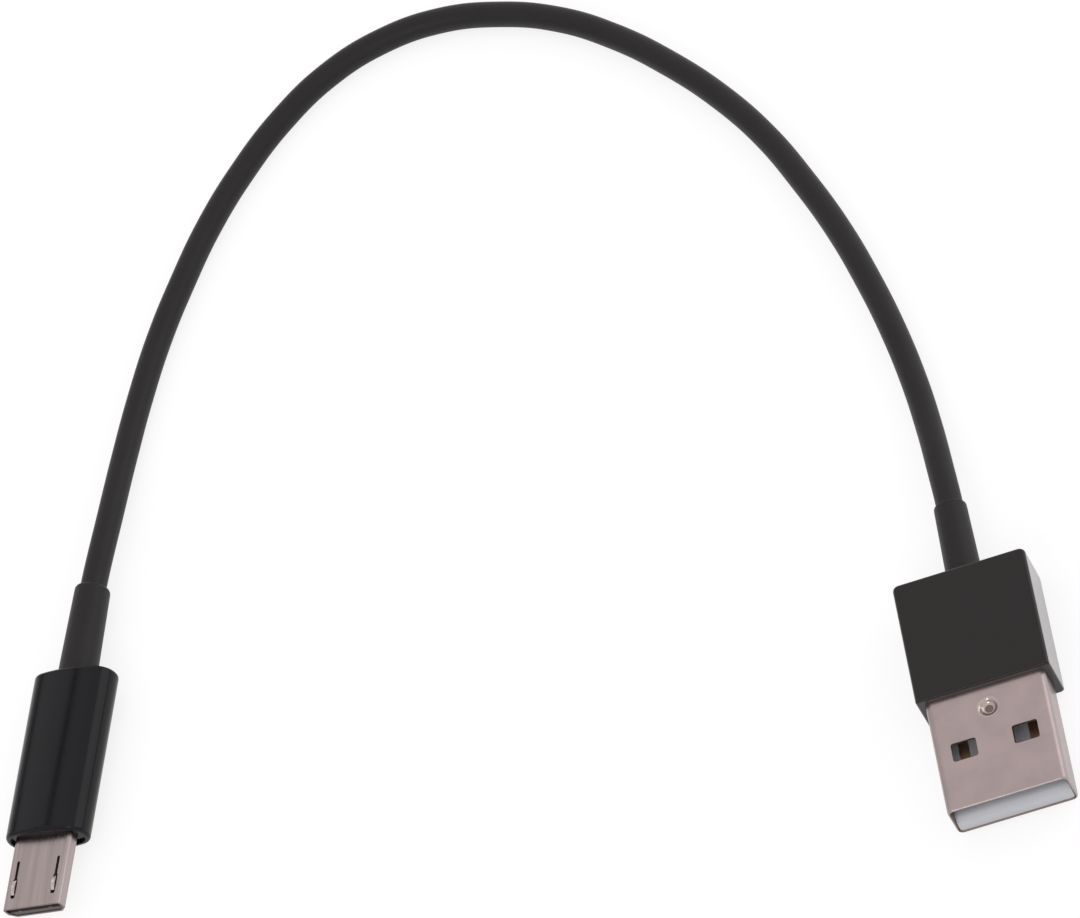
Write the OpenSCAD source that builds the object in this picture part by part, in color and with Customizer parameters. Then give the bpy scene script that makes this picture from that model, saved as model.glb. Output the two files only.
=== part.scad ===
/* [Type A plug] */
// Outer width of the steel shell
a_shell_w = 12; // [11.8:0.05:14.4]
// Outer height of the steel shell
a_shell_h = 4.5; // [4.3:0.05:5.4]
// Thickness of the shell's sheet
a_sheet = 0.3; // [0.25:0.01:0.4]
// Outer radius of the shell's four long bends
a_bend_r = 0.65; // [0.5:0.05:1]
// Length of shell that stands out of the housing
a_shell_out = 12.2; // [10:0.1:15]
// Length of shell held inside the housing
a_shell_in = 4.5; // [3.5:0.1:6]
// Width of a latch window in the shell
a_window_w = 2.5; // [2:0.1:3]
// Length of a latch window in the shell
a_window_l = 2; // [1.6:0.1:2.5]
// Distance between the middles of two windows
a_window_pitch = 6.1; // [5.5:0.1:7]
// Distance from the nose to the windows' front edge
a_window_nose = 5.1; // [4:0.1:6]
// Radius of a latch window's corners
a_window_r = 0.25; // [0.1:0.05:0.5]
// Width of the stamped round dent at its mouth
a_dent_d = 2; // [1.4:0.1:2.2]
// Depth of the stamped round dent
a_dent_depth = 0.45; // [0.2:0.05:0.6]
// Distance from the nose to the dent's middle
a_dent_nose = 9.9; // [9:0.1:11]
// Thickness of the white tongue
a_tongue_t = 1.9; // [1.6:0.05:2.2]
// Distance from the nose back to the tongue's front
a_tongue_set_back = 0.15; // [0.1:0.05:0.8]
// Radius along the tongue's front edge
a_tongue_r = 1.1; // [0.3:0.1:1.4]
// Width of one contact strip
a_contact_w = 1; // [0.8:0.05:1.2]
// Thickness of one contact strip
a_contact_t = 0.3; // [0.2:0.05:0.4]
// Distance from the nose to the two outer contacts
a_contact_nose_outer = 1.9; // [1.5:0.1:2.5]
// Distance from the nose to the two inner contacts
a_contact_nose_inner = 2.9; // [2.4:0.1:3.5]
// Distance from the middle line to an inner contact
a_contact_inner_x = 1; // [0.9:0.05:1.2]
// Distance from the middle line to an outer contact
a_contact_outer_x = 3.5; // [3:0.05:4]
// Wall of the housing beside and above the shell
a_wall = 0.7; // [0.5:0.05:1.2]
// Length of the housing
a_housing_l = 13.3; // [12.5:0.1:18]
// Radius of the housing's long edges
a_edge_r = 0.35; // [0.2:0.05:0.6]
// Radius of the housing's two upright corners at the cord end
a_corner_r = 0.7; // [0.4:0.05:1]
// Radius of the housing's front corners and cross edges
a_end_r = 0.2; // [0.1:0.05:0.4]
// Width of the strain relief where it leaves the housing
a_relief_base_d = 3.55; // [3.45:0.05:4.6]
// Width of the strain relief at its cord end
a_relief_tip_d = 3.25; // [3.1:0.05:4]
// Length of the strain relief outside the housing
a_relief_l = 8.7; // [6:0.1:12]

/* [Micro B plug] */
// Outer width of the steel shell across its wide top
b_shell_w = 6.85; // [6.6:0.05:8.2]
// Outer height of the steel shell
b_shell_h = 1.8; // [1.7:0.05:2.2]
// Outer width of the shell's narrow underside
b_shell_low_w = 5.4; // [5:0.05:5.8]
// Height of the shell's slanted lower corners
b_shell_slant_h = 0.65; // [0.4:0.05:0.8]
// Thickness of the shell's sheet
b_sheet = 0.25; // [0.2:0.01:0.3]
// Outer radius of the shell's top corners
b_bend_r = 0.4; // [0.3:0.05:0.6]
// Length of shell that stands out of the housing
b_shell_out = 7.7; // [6.5:0.1:9.3]
// Length of shell held inside the housing
b_shell_in = 5; // [4:0.1:6.5]
// Width of a latch slot in the shell's top
b_slot_w = 0.5; // [0.45:0.01:0.8]
// Length of a latch slot in the shell's top
b_slot_l = 3.9; // [3.2:0.1:4.4]
// Width of the narrow slit that runs back from a slot's hook
b_slit_w = 0.3; // [0.2:0.01:0.4]
// Distance from the nose to the slots' front end
b_slot_nose = 1.35; // [1:0.05:1.6]
// Distance between the two latch slots
b_slot_pitch = 4.8; // [4.6:0.05:4.9]
// Width of a latch arm
b_latch_w = 0.36; // [0.3:0.02:0.4]
// Thickness of a latch arm
b_latch_t = 0.2; // [0.15:0.01:0.25]
// How far a latch arm lies below the shell's top sheet
b_latch_drop = 0.3; // [0.1:0.02:0.34]
// Height of a latch hook above the shell
b_hook_h = 0.25; // [0.15:0.01:0.3]
// Length of a latch hook where it leaves its arm
b_hook_l = 1.6; // [1.2:0.1:2.4]
// Width of one spring contact
b_contact_w = 0.4; // [0.3:0.02:0.44]
// Thickness of one spring contact
b_contact_t = 0.15; // [0.1:0.01:0.2]
// Distance between neighbouring spring contacts
b_contact_pitch = 0.65; // [0.6:0.01:0.68]
// Width of the housing
b_housing_w = 9.4; // [9:0.1:12]
// Thickness of the housing
b_housing_h = 4.6; // [4.5:0.1:5.6]
// Length of the housing
b_housing_l = 18.3; // [16.5:0.1:22]
// Radius of the housing's gently crowned top and underside
b_crown_r = 16; // [12:0.5:30]
// Wall of the housing round the inner mould
b_wall = 0.6; // [0.5:0.05:0.7]
// Radius of the housing's end edges
b_edge_r = 0.35; // [0.2:0.05:0.5]
// Width of the lip round the housing's front
b_lip_w = 0.5; // [0.4:0.05:0.9]
// Depth of the front inside that lip
b_lip_depth = 0.3; // [0.15:0.05:0.6]
// Width of the strain relief where it leaves the housing
b_relief_base_d = 4; // [3.5:0.05:4.4]
// Width of the strain relief at its cord end
b_relief_tip_d = 3.65; // [3.2:0.05:3.9]
// Length of the strain relief outside the housing
b_relief_l = 10.1; // [7:0.1:12.5]

/* [Cord] */
// Outer diameter of the cord
cord_d = 2.7; // [2.2:0.05:2.8]
// Outer diameter of one insulated core
core_d = 0.66; // [0.5:0.02:0.7]

/* [Lie on the table] */
// Where the micro B housing's front lies, to the right
b_place_x = -95.6; // [-97:0.1:-94]
// Where the micro B housing's front lies, to the back
b_place_y = 9.6; // [8:0.1:11]
// Turn of the micro B plug on the table
b_heading = -16.3; // [-18:0.1:-14]
// Roll of the micro B plug about its length
b_roll = -11; // [-14:0.5:0]

/* [Hidden] */
$fn = 48;
// Facets of a crowned face's wide circle
crown_sides = 192;
// Clearance between moulded pieces that seat in each other
seat_gap = 0.02;
// Clearance round the micro B plug's springs
spring_gap = 0.05;
// Small overlap that lets a cut run past a face
past = 0.5;

// Length of a strain relief's collar and of the housing's back wall
collar_l = 0.8;
back_wall = 1.2;
// Wall of a strain relief's neck, where it passes through the back wall
neck_wall = 0.35;
neck_d = cord_d + 2 * neck_wall;
// How far a collar stands out to each side of its neck, and its corners
collar_step = 0.9;
collar_w = neck_d + 2 * collar_step;
collar_r = 0.4;
// How far the jacket reaches into the room for the soldered ends
jacket_in = 0.5;
// Length of a contact's tail behind its shell
tail_l = 1.8;
// Radius of a drop of solder
solder_r = 0.36;
// Length of core that lies along its tail
core_lie = 0.5;

// Type A plug, on its axis with the housing's front at y = 0
a_housing_w = a_shell_w + 2 * a_wall;
a_housing_h = a_shell_h + 2 * a_wall;
a_nose = -a_shell_out;
a_axis_z = a_housing_h / 2;
a_inner_h = a_shell_h - 2 * a_sheet;
a_tongue_w = a_shell_w - 2 * a_sheet - 2 * seat_gap;
a_floor_z = -a_inner_h / 2;
a_tongue_top = a_floor_z + a_tongue_t;
a_tongue_base_y = -0.8;
a_collar_h = neck_d + collar_step;
a_mould_wall = 0.7;
a_mould_y = a_shell_in;
a_mould_end = a_housing_l - back_wall - collar_l;
a_room_end = a_mould_end - a_mould_wall;
a_tail_end = a_shell_in + tail_l;
// How far a core runs straight past its tail before it turns in
a_core_lead = 0.2;
a_contact_x = [-a_contact_outer_x, -a_contact_inner_x, a_contact_inner_x, a_contact_outer_x];
a_contact_nose = [a_contact_nose_outer, a_contact_nose_inner, a_contact_nose_inner, a_contact_nose_outer];

// Micro B plug, on its axis with the housing's front at y = 0
b_nose = -b_shell_out;
b_inner_h = b_shell_h - 2 * b_sheet;
b_ceiling_z = b_inner_h / 2;
b_collar_h = b_housing_h - 2 * b_wall - 2 * seat_gap;
b_mould_wall = 0.45;
b_mould_y = b_shell_in;
b_mould_end = b_housing_l - back_wall - collar_l;
b_room_l = 7;
b_room_end = b_mould_y + b_room_l;
b_tail_end = b_shell_in + tail_l;
b_core_lead = 1.2;
b_base_y = -2.2;
// Its insulator's front, and the bar there that guards the contacts' ends
b_set_back = 0.1;
b_front_bar_l = 0.5;

// Its latch arms: where they stand, how far they bend, and their hooks' faces
b_latch_x = b_slot_pitch / 2;
b_latch_top = b_ceiling_z - b_latch_drop;
b_latch_root = 1;
b_latch_travel = 0.4;
b_hook_gap = 0.15;
b_hook_front = b_nose + b_slot_nose + b_hook_gap;
b_hook_steps = 12;

// Its spring contacts: where they stand, how far they bend, and their raised ends
b_contact_root = 0.5;
b_contact_z = -0.05;
b_contact_front = b_nose + 1.1;
b_bump_h = 0.14;
b_bump_ramp = 0.8;
b_bump_flat = 0.5;
b_contact_travel = 0.36;
b_rail_w = 0.4;
b_row_drop = 0.35;
b_contact_x = [for (k = [2 : -1 : -2]) k * b_contact_pitch];

// Its housing's section: round sides that run on into the crowned top and underside
function pillow_side_r(w, h, crown) = (crown * h - h * h / 4 - w * w / 4) / (2 * crown - w);

b_side_x = b_housing_w / 2 - pillow_side_r(b_housing_w, b_housing_h, b_crown_r);
b_side_turn = atan2(b_side_x, b_crown_r - b_housing_h / 2);
// Height of the plug's axis when its housing lies rolled on the table
b_axis_z = abs(b_roll) < b_side_turn
    ? b_crown_r - (b_crown_r - b_housing_h / 2) * cos(b_roll)
    : b_housing_w / 2 - b_side_x * (1 - sin(abs(b_roll)));

// The cord's run from the type A plug's strain relief to the micro B plug's
cord_sides = 8;
core_sides = 6;
// Four cores lie round the middle, and the jacket's bore takes them with a clearance
core_gap = 0.03;
core_ring_r = (core_d + core_gap) / sqrt(2);
jacket_bore_r = (core_ring_r + core_d / 2 + core_gap) / cos(180 / cord_sides);
cord_points = [
    [-0.2, 20, 2.6],
    [-0.6, 26, 1.8],
    [-1.2, 32, 1.4],
    [-2.2, 38.5, 1.4],
    [-3.6, 45, 1.4],
    [-5.5, 52, 1.4],
    [-8, 59, 1.4],
    [-11, 66, 1.4],
    [-14.8, 72.5, 1.4],
    [-19.3, 78.5, 1.4],
    [-24.4, 84, 1.4],
    [-30, 88.5, 1.4],
    [-36, 91.5, 1.4],
    [-42.5, 93.2, 1.4],
    [-49, 93, 1.4],
    [-55.2, 91, 1.4],
    [-61, 87.2, 1.4],
    [-66, 82.4, 1.4],
    [-70.4, 77, 1.4],
    [-74.2, 71, 1.4],
    [-77.5, 65, 1.4],
    [-80.4, 58.5, 1.4],
    [-82.8, 52, 1.6],
    [-84.8, 45.5, 2.2]
];

// Places a plug's pieces on the table
module place_a() {
    translate([0, -a_housing_l / 2, a_axis_z]) children();
}

module place_b() {
    translate([b_place_x, b_place_y, b_axis_z])
        rotate([0, 0, b_heading])
            rotate([0, b_roll, 0])
                children();
}

function on_a(p) = [p[0], p[1] - a_housing_l / 2, p[2] + a_axis_z];

function on_b(p) =
    let (x = p[0] * cos(b_roll) + p[2] * sin(b_roll))
    let (z = p[2] * cos(b_roll) - p[0] * sin(b_roll))
    [
        b_place_x + x * cos(b_heading) - p[1] * sin(b_heading),
        b_place_y + x * sin(b_heading) + p[1] * cos(b_heading),
        b_axis_z + z
    ];

// Extrudes an outline drawn in x and z from y0 to y1
module along_y(y0, y1) {
    translate([0, y1, 0]) rotate([90, 0, 0]) linear_extrude(y1 - y0) children();
}

// Extrudes an outline drawn in y and z across a width about x = 0
module across_x(w) {
    translate([-w / 2, 0, 0]) rotate([90, 0, 90]) linear_extrude(w) children();
}

// Extrudes an outline drawn in x and y over a height about z = 0
module over_z(h) {
    translate([0, 0, -h / 2]) linear_extrude(h) children();
}

// Turns a profile drawn in radius and y about the plug's axis
module about_y() {
    rotate([-90, 0, 0]) rotate_extrude() children();
}

module block(x0, x1, y0, y1, z0, z1) {
    translate([x0, y0, z0]) cube([x1 - x0, y1 - y0, z1 - z0]);
}

// A rectangle from its low corner to its high corner, with round corners
module round_rect(x0, y0, x1, y1, r) {
    translate([x0 + r, y0]) square([x1 - x0 - 2 * r, y1 - y0]);
    translate([x0, y0 + r]) square([x1 - x0, y1 - y0 - 2 * r]);
    for (x = [x0 + r, x1 - r])
        for (y = [y0 + r, y1 - r])
            translate([x, y]) circle(r);
}

module centred_round_rect(w, h, r) {
    round_rect(-w / 2, -h / 2, w / 2, h / 2, r);
}

// A crowned top and underside, each an arc that runs on into the round sides
module pillow(w, h, crown) {
    r = pillow_side_r(w, h, crown);
    side_x = w / 2 - r;
    turn = atan2(side_x, crown - h / 2);
    intersection() {
        square([2 * crown * sin(turn), h], center = true);
        translate([0, h / 2 - crown]) circle(crown, $fn = crown_sides);
        translate([0, crown - h / 2]) circle(crown, $fn = crown_sides);
    }
    for (x = [-1, 1])
        translate([x * side_x, 0]) circle(r);
}

// The micro B housing's section, drawn in by a wall all round
module b_pillow(inset) {
    pillow(b_housing_w - 2 * inset, b_housing_h - 2 * inset, b_crown_r - inset);
}

// The micro B shell's section, drawn in by a wall all round
module b_section(inset) {
    slope = atan2(b_shell_slant_h, (b_shell_w - b_shell_low_w) / 2);
    top = b_shell_h / 2 - inset;
    side = b_shell_w / 2 - inset;
    low = b_shell_low_w / 2 - inset * tan(slope / 2);
    slant = b_shell_slant_h - b_shell_h / 2 + inset * tan(45 - slope / 2);
    r = max(b_bend_r - inset, 0.05);
    polygon([
        [-low, -top], [low, -top], [side, slant], [side, top - r],
        [side - r, top], [r - side, top], [-side, top - r], [-side, slant]
    ]);
    for (x = [-1, 1])
        translate([x * (side - r), top - r]) circle(r);
}

// A strain relief: a flat collar inside the housing, a neck and a tapered sleeve outside it
module relief(housing_l, relief_l, base_d, tip_d, collar_h) {
    tip_y = housing_l + relief_l;
    sleeve_y = housing_l + seat_gap;
    round_r = (tip_d - cord_d) / 2 - 2 * seat_gap;
    collar_y = housing_l - back_wall - collar_l;
    difference() {
        union() {
            about_y() {
                polygon([
                    [0, collar_y], [neck_d / 2, collar_y], [neck_d / 2, sleeve_y],
                    [base_d / 2, sleeve_y], [tip_d / 2, tip_y - round_r],
                    [tip_d / 2 - round_r, tip_y], [0, tip_y]
                ]);
                translate([tip_d / 2 - round_r, tip_y - round_r]) circle(round_r);
            }
            along_y(collar_y, collar_y + collar_l) centred_round_rect(collar_w, collar_h, collar_r);
        }
        jacket_way(collar_y - past, tip_y + past);
    }
}

// The room that a housing leaves for a relief's collar and neck
module relief_room(housing_l, collar_h) {
    wall_y = housing_l - back_wall;
    along_y(wall_y - collar_l - seat_gap, wall_y)
        centred_round_rect(collar_w + 2 * seat_gap, collar_h + 2 * seat_gap, collar_r + seat_gap);
    about_y() translate([0, wall_y - seat_gap]) square([neck_d / 2 + seat_gap, back_wall + past]);
}

// A straight tube about the plug's axis that the jacket passes through
module jacket_way(y0, y1) {
    about_y() translate([0, y0]) square([cord_d / 2 + seat_gap, y1 - y0]);
}

// A drop of solder that sits on a flat tail
module solder_drop(x, y, z, up) {
    r = solder_r;
    intersection() {
        translate([x, y, z]) sphere(r);
        if (up) block(x - r, x + r, y - r, y + r, z, z + r);
        else block(x - r, x + r, y - r, y + r, z - r, z);
    }
}

// Type A plug
module a_shell_outline(inset) {
    centred_round_rect(a_shell_w - 2 * inset, a_shell_h - 2 * inset, a_bend_r - inset);
}

module type_a_shell() {
    top = a_shell_h / 2;
    window_y = a_nose + a_window_nose;
    // The dent is part of a ball pressed into the sheet, which keeps its thickness
    ball_r = (a_dent_d * a_dent_d / 4 + a_dent_depth * a_dent_depth) / (2 * a_dent_depth);
    ball = [0, a_nose + a_dent_nose, top + ball_r - a_dent_depth];
    color("#a59a97") place_a() difference() {
        union() {
            intersection() {
                difference() {
                    along_y(a_nose, a_shell_in) a_shell_outline(0);
                    along_y(a_nose - past, a_shell_in + past) a_shell_outline(a_sheet);
                }
                over_z(a_shell_h + 1)
                    round_rect(-a_shell_w / 2, a_nose, a_shell_w / 2, a_shell_in, a_sheet);
            }
            intersection() {
                translate(ball) sphere(ball_r + a_sheet);
                translate([0, ball[1], top - a_dent_depth - a_sheet / 2])
                    cube([2 * a_dent_d, 2 * a_dent_d, 2 * a_dent_depth], center = true);
            }
        }
        for (x = [-1, 1])
            for (z = [-1, 1])
                translate([x * a_window_pitch / 2, window_y + a_window_l / 2, z * top])
                    over_z(4 * a_sheet) centred_round_rect(a_window_w, a_window_l, a_window_r);
        translate(ball) sphere(ball_r);
    }
}

module type_a_tongue() {
    front = a_nose + a_tongue_set_back;
    groove_w = a_contact_w + 2 * seat_gap;
    color("#eef1f4") place_a() difference() {
        intersection() {
            across_x(a_tongue_w) {
                polygon([
                    [front, a_floor_z + seat_gap], [a_shell_in, a_floor_z + seat_gap],
                    [a_shell_in, -a_floor_z - seat_gap], [a_tongue_base_y, -a_floor_z - seat_gap],
                    [a_tongue_base_y, a_tongue_top], [front + a_tongue_r, a_tongue_top],
                    [front, a_tongue_top - a_tongue_r]
                ]);
                translate([front + a_tongue_r, a_tongue_top - a_tongue_r]) circle(a_tongue_r);
            }
            along_y(front, a_shell_in) a_shell_outline(a_sheet + seat_gap);
        }
        for (k = [0 : 3])
            block(
                a_contact_x[k] - groove_w / 2, a_contact_x[k] + groove_w / 2,
                a_nose + a_contact_nose[k] - seat_gap, a_shell_in + past,
                a_tongue_top - a_contact_t, a_tongue_top + seat_gap
            );
    }
}

module a_contact(k) {
    color("#c9a24b") place_a() block(
        a_contact_x[k] - a_contact_w / 2, a_contact_x[k] + a_contact_w / 2,
        a_nose + a_contact_nose[k], a_tail_end,
        a_tongue_top - a_contact_t, a_tongue_top
    );
}

module type_a_contact_power() {
    a_contact(0);
}

module type_a_contact_data_minus() {
    a_contact(1);
}

module type_a_contact_data_plus() {
    a_contact(2);
}

module type_a_contact_ground() {
    a_contact(3);
}

module type_a_solder() {
    color("#b9bcc0") place_a()
        for (x = a_contact_x)
            solder_drop(x, a_tail_end - core_lie - solder_r, a_tongue_top, true);
}

module type_a_inner_mould() {
    w = a_shell_w - 2 * seat_gap;
    h = a_shell_h - 2 * seat_gap;
    color("#d8d4c8") place_a() difference() {
        along_y(a_mould_y, a_mould_end - seat_gap) centred_round_rect(w, h, a_bend_r - seat_gap);
        along_y(a_mould_y - past, a_room_end)
            centred_round_rect(w - 2 * a_mould_wall, h - 2 * a_mould_wall, a_bend_r / 2);
        jacket_way(a_room_end - past, a_mould_end + past);
    }
}

module type_a_housing() {
    color("#2c2a2b") place_a() difference() {
        intersection() {
            along_y(0, a_housing_l) centred_round_rect(a_housing_w, a_housing_h, a_edge_r);
            over_z(a_housing_h + 1) intersection() {
                round_rect(-a_housing_w / 2, -a_corner_r, a_housing_w / 2, a_housing_l, a_corner_r);
                round_rect(-a_housing_w / 2, 0, a_housing_w / 2, a_housing_l + a_end_r, a_end_r);
            }
            across_x(a_housing_w + 1)
                round_rect(0, -a_housing_h / 2, a_housing_l, a_housing_h / 2, a_end_r);
        }
        along_y(-past, a_mould_end) a_shell_outline(-seat_gap);
        relief_room(a_housing_l, a_collar_h);
    }
}

module type_a_strain_relief() {
    color("#2d2b2d") place_a()
        relief(a_housing_l, a_relief_l, a_relief_base_d, a_relief_tip_d, a_collar_h);
}

// Cord: vectors, rings and the two kinds of swept solid
function unit(v) = v / norm(v);

function run_dir(p, k) = unit(p[min(k + 1, len(p) - 1)] - p[max(k - 1, 0)]);

function side_of(t) = unit(cross(t, [0, 0, 1]));

function ring(p, k, r, sides) =
    let (t = run_dir(p, k))
    let (s = side_of(t))
    let (u = cross(s, t))
    [
        for (j = [0 : sides - 1])
            let (turn = (j + 0.5) * 360 / sides)
            p[k] + r * (cos(turn) * s + sin(turn) * u)
    ];

function rings(p, r, sides) = [for (k = [0 : len(p) - 1]) for (v = ring(p, k, r, sides)) v];

// Triangles of one skin of rings, facing outwards or inwards
function skin(count, sides, first, outwards) = [
    for (k = [0 : count - 2])
        for (j = [0 : sides - 1])
            let (a = first + k * sides + j)
            let (b = first + k * sides + (j + 1) % sides)
            let (c = a + sides)
            let (d = b + sides)
            for (face = outwards ? [[a, d, b], [a, c, d]] : [[a, b, d], [a, d, c]]) face
];

module swept_rod(p, r, sides) {
    last = (len(p) - 1) * sides;
    polyhedron(
        points = rings(p, r, sides),
        faces = concat(
            skin(len(p), sides, 0, true),
            [for (j = [1 : sides - 2]) [0, j, j + 1]],
            [for (j = [1 : sides - 2]) [last, last + j + 1, last + j]]
        )
    );
}

module swept_tube(p, r_out, r_in, sides) {
    count = len(p);
    inner = count * sides;
    last = (count - 1) * sides;
    polyhedron(
        points = concat(rings(p, r_out, sides), rings(p, r_in, sides)),
        faces = concat(
            skin(count, sides, 0, true),
            skin(count, sides, inner, false),
            [
                for (j = [0 : sides - 1])
                    let (n = (j + 1) % sides)
                    for (face = [
                        [j, n, inner + n], [j, inner + n, inner + j],
                        [last + j, inner + last + n, last + n],
                        [last + j, inner + last + j, inner + last + n]
                    ]) face
            ]
        )
    );
}

// The jacket runs from one plug's room for soldered ends to the other's
jacket_run = concat(
    [for (y = [a_room_end - jacket_in, a_housing_l, a_housing_l + a_relief_l]) on_a([0, y, 0])],
    cord_points,
    [for (y = [b_housing_l + b_relief_l, b_housing_l, b_room_end - jacket_in]) on_b([0, y, 0])]
);

module cord_jacket() {
    color("#2d2b2d") swept_tube(jacket_run, cord_d / 2, jacket_bore_r, cord_sides);
}

// A core lies on its two tails, fans in to the jacket and runs its length beside the others
function in_jacket(turn) = [
    for (k = [0 : len(jacket_run) - 1])
        let (t = run_dir(jacket_run, k))
        let (s = side_of(t))
        jacket_run[k] + core_ring_r * (cos(turn) * s + sin(turn) * cross(s, t))
];

function a_core_end(x) =
    let (z = a_tongue_top + core_d / 2 + seat_gap)
    [on_a([x, a_tail_end - core_lie, z]), on_a([x, a_tail_end + a_core_lead, z])];

function b_core_end(x, low) =
    let (z = low ? b_low_z - core_d / 2 - seat_gap : b_high_z + core_d / 2 + seat_gap)
    [on_b([x, b_tail_end + b_core_lead, z]), on_b([x, b_tail_end - core_lie, z])];

module core(turn, a_x, b_x, low) {
    swept_rod(concat(a_core_end(a_x), in_jacket(turn), b_core_end(b_x, low)), core_d / 2, core_sides);
}

module core_red() {
    color("#b3262a") core(135, a_contact_x[0], b_contact_x[0], false);
}

module core_white() {
    color("#e6e6e2") core(225, a_contact_x[1], b_contact_x[1], true);
}

module core_green() {
    color("#2f7d46") core(45, a_contact_x[2], b_contact_x[2], false);
}

module core_black() {
    color("#202022") core(315, a_contact_x[3], b_contact_x[4], false);
}

// Micro B plug
module micro_b_strain_relief() {
    color("#2d2b2d") place_b()
        relief(b_housing_l, b_relief_l, b_relief_base_d, b_relief_tip_d, b_collar_h);
}

module micro_b_housing() {
    color("#19191d") place_b() difference() {
        intersection() {
            along_y(0, b_housing_l) b_pillow(0);
            over_z(b_housing_h + 1)
                round_rect(-b_housing_w / 2, 0, b_housing_w / 2, b_housing_l, b_edge_r);
            across_x(b_housing_w + 1)
                round_rect(0, -b_housing_h / 2, b_housing_l, b_housing_h / 2, b_edge_r);
        }
        along_y(-past, b_lip_depth) b_pillow(b_lip_w);
        along_y(-past, b_mould_y + past) b_section(-seat_gap);
        along_y(b_mould_y, b_mould_end) b_pillow(b_wall);
        relief_room(b_housing_l, b_collar_h);
    }
}

module micro_b_inner_mould() {
    color("#d8d4c8") place_b() difference() {
        along_y(b_mould_y, b_mould_end - seat_gap) b_pillow(b_wall + seat_gap);
        along_y(b_mould_y - past, b_room_end) b_pillow(b_wall + seat_gap + b_mould_wall);
        jacket_way(b_room_end - past, b_mould_end + past);
    }
}

module micro_b_shell() {
    slot_y = b_nose + b_slot_nose;
    hook_end = b_hook_front + b_hook_l + b_hook_gap;
    color("#a79d9a") place_b() difference() {
        along_y(b_nose, b_shell_in) b_section(0);
        along_y(b_nose - past, b_shell_in + past) b_section(b_sheet);
        for (x = [-1, 1])
            translate([x * b_latch_x, 0, b_ceiling_z - past / 2])
                linear_extrude(b_sheet + past) {
                    round_rect(-b_slot_w / 2, slot_y, b_slot_w / 2, hook_end, b_slot_w / 4);
                    round_rect(-b_slit_w / 2, slot_y, b_slit_w / 2, slot_y + b_slot_l, b_slit_w / 4);
                }
    }
}

// The low row of tails takes every second contact, so that the cores have room
b_high_z = b_contact_z + b_contact_t;
b_low_z = b_contact_z - b_row_drop;

function in_low_row(k) = k % 2 == 1;

// A tail's outline in y and z, drawn out by a clearance
module b_tail_outline(k, gap) {
    front = b_contact_root + spring_gap;
    translate([front - gap, b_contact_z - gap]) {
        if (in_low_row(k)) {
            translate([0, -b_row_drop])
                square([2 * b_contact_t + 2 * gap, b_row_drop + b_contact_t + 2 * gap]);
            translate([0, -b_row_drop])
                square([b_tail_end - front + 2 * gap, b_contact_t + 2 * gap]);
        } else {
            square([b_tail_end - front + 2 * gap, b_contact_t + 2 * gap]);
        }
    }
}

module micro_b_tails() {
    color("#c9a24b") place_b()
        for (k = [0 : 4])
            translate([b_contact_x[k], 0, 0]) across_x(b_contact_w) b_tail_outline(k, 0);
}

module micro_b_insulator() {
    front = b_nose + b_set_back;
    plate_top = b_contact_z - b_contact_travel;
    rail_x = 2 * b_contact_pitch + b_contact_w / 2 + 2 * spring_gap;
    way_w = b_contact_w + 2 * spring_gap;
    latch_way = b_latch_w + 4 * spring_gap;
    latch_low = b_latch_top - b_latch_t - b_latch_travel;
    color("#2b2b2e") place_b() difference() {
        intersection() {
            along_y(front, b_shell_in) b_section(b_sheet + seat_gap);
            union() {
                block(-b_shell_w, b_shell_w, front, b_shell_in, -b_shell_h, plate_top);
                for (x = [-1, 1])
                    translate([x * (rail_x + b_rail_w / 2), 0, 0])
                        block(-b_rail_w / 2, b_rail_w / 2, front, b_shell_in, -b_shell_h, b_high_z);
                block(-b_shell_w, b_shell_w, front, front + b_front_bar_l, -b_shell_h, b_contact_z);
                block(-b_shell_w, b_shell_w, b_base_y, b_shell_in, -b_shell_h, b_shell_h);
            }
        }
        for (k = [0 : 4])
            translate([b_contact_x[k], 0, 0]) {
                block(
                    -way_w / 2, way_w / 2, b_base_y - past, b_contact_root + spring_gap,
                    plate_top, b_high_z + spring_gap
                );
                across_x(b_contact_w + 2 * seat_gap) b_tail_outline(k, seat_gap);
            }
        for (x = [-1, 1])
            translate([x * b_latch_x, 0, 0])
                block(
                    -latch_way / 2, latch_way / 2, b_base_y - past, b_latch_root + spring_gap,
                    latch_low, b_shell_h
                );
    }
}

// A spring contact: a straight strip with a raised end where it touches
module b_contact(k) {
    t = b_contact_t;
    z = b_contact_z;
    top = b_contact_z + b_bump_h;
    front = b_contact_front;
    crest = front + b_bump_ramp;
    back = crest + b_bump_flat;
    color("#d0ab55") place_b()
        translate([b_contact_x[k], 0, 0])
            across_x(b_contact_w)
                polygon([
                    [b_contact_root, z], [b_contact_root, z + t], [back + b_bump_ramp, z + t],
                    [back, top + t], [crest, top + t], [front, z + t],
                    [front, z], [crest, top], [back, top], [back + b_bump_ramp, z]
                ]);
}

module micro_b_contact_power() {
    b_contact(0);
}

module micro_b_contact_data_minus() {
    b_contact(1);
}

module micro_b_contact_data_plus() {
    b_contact(2);
}

module micro_b_contact_id() {
    b_contact(3);
}

module micro_b_contact_ground() {
    b_contact(4);
}

// A latch arm under the shell's top, with a humped hook that stands out of its slot
module b_latch(side) {
    low = b_latch_top - b_latch_t;
    rim = b_shell_h / 2;
    front = b_hook_front;
    back = front + b_hook_l;
    hump = [
        for (k = [0 : b_hook_steps])
            let (along = k / b_hook_steps)
            [back - along * b_hook_l, rim + b_hook_h * sin(180 * along)]
    ];
    color("#b6afac") place_b()
        translate([side * b_latch_x, 0, 0])
            across_x(b_latch_w)
                polygon(concat(
                    [[front, low], [b_latch_root, low], [b_latch_root, b_latch_top], [back, b_latch_top]],
                    hump
                ));
}

module micro_b_latch_left() {
    b_latch(-1);
}

module micro_b_latch_right() {
    b_latch(1);
}

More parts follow.
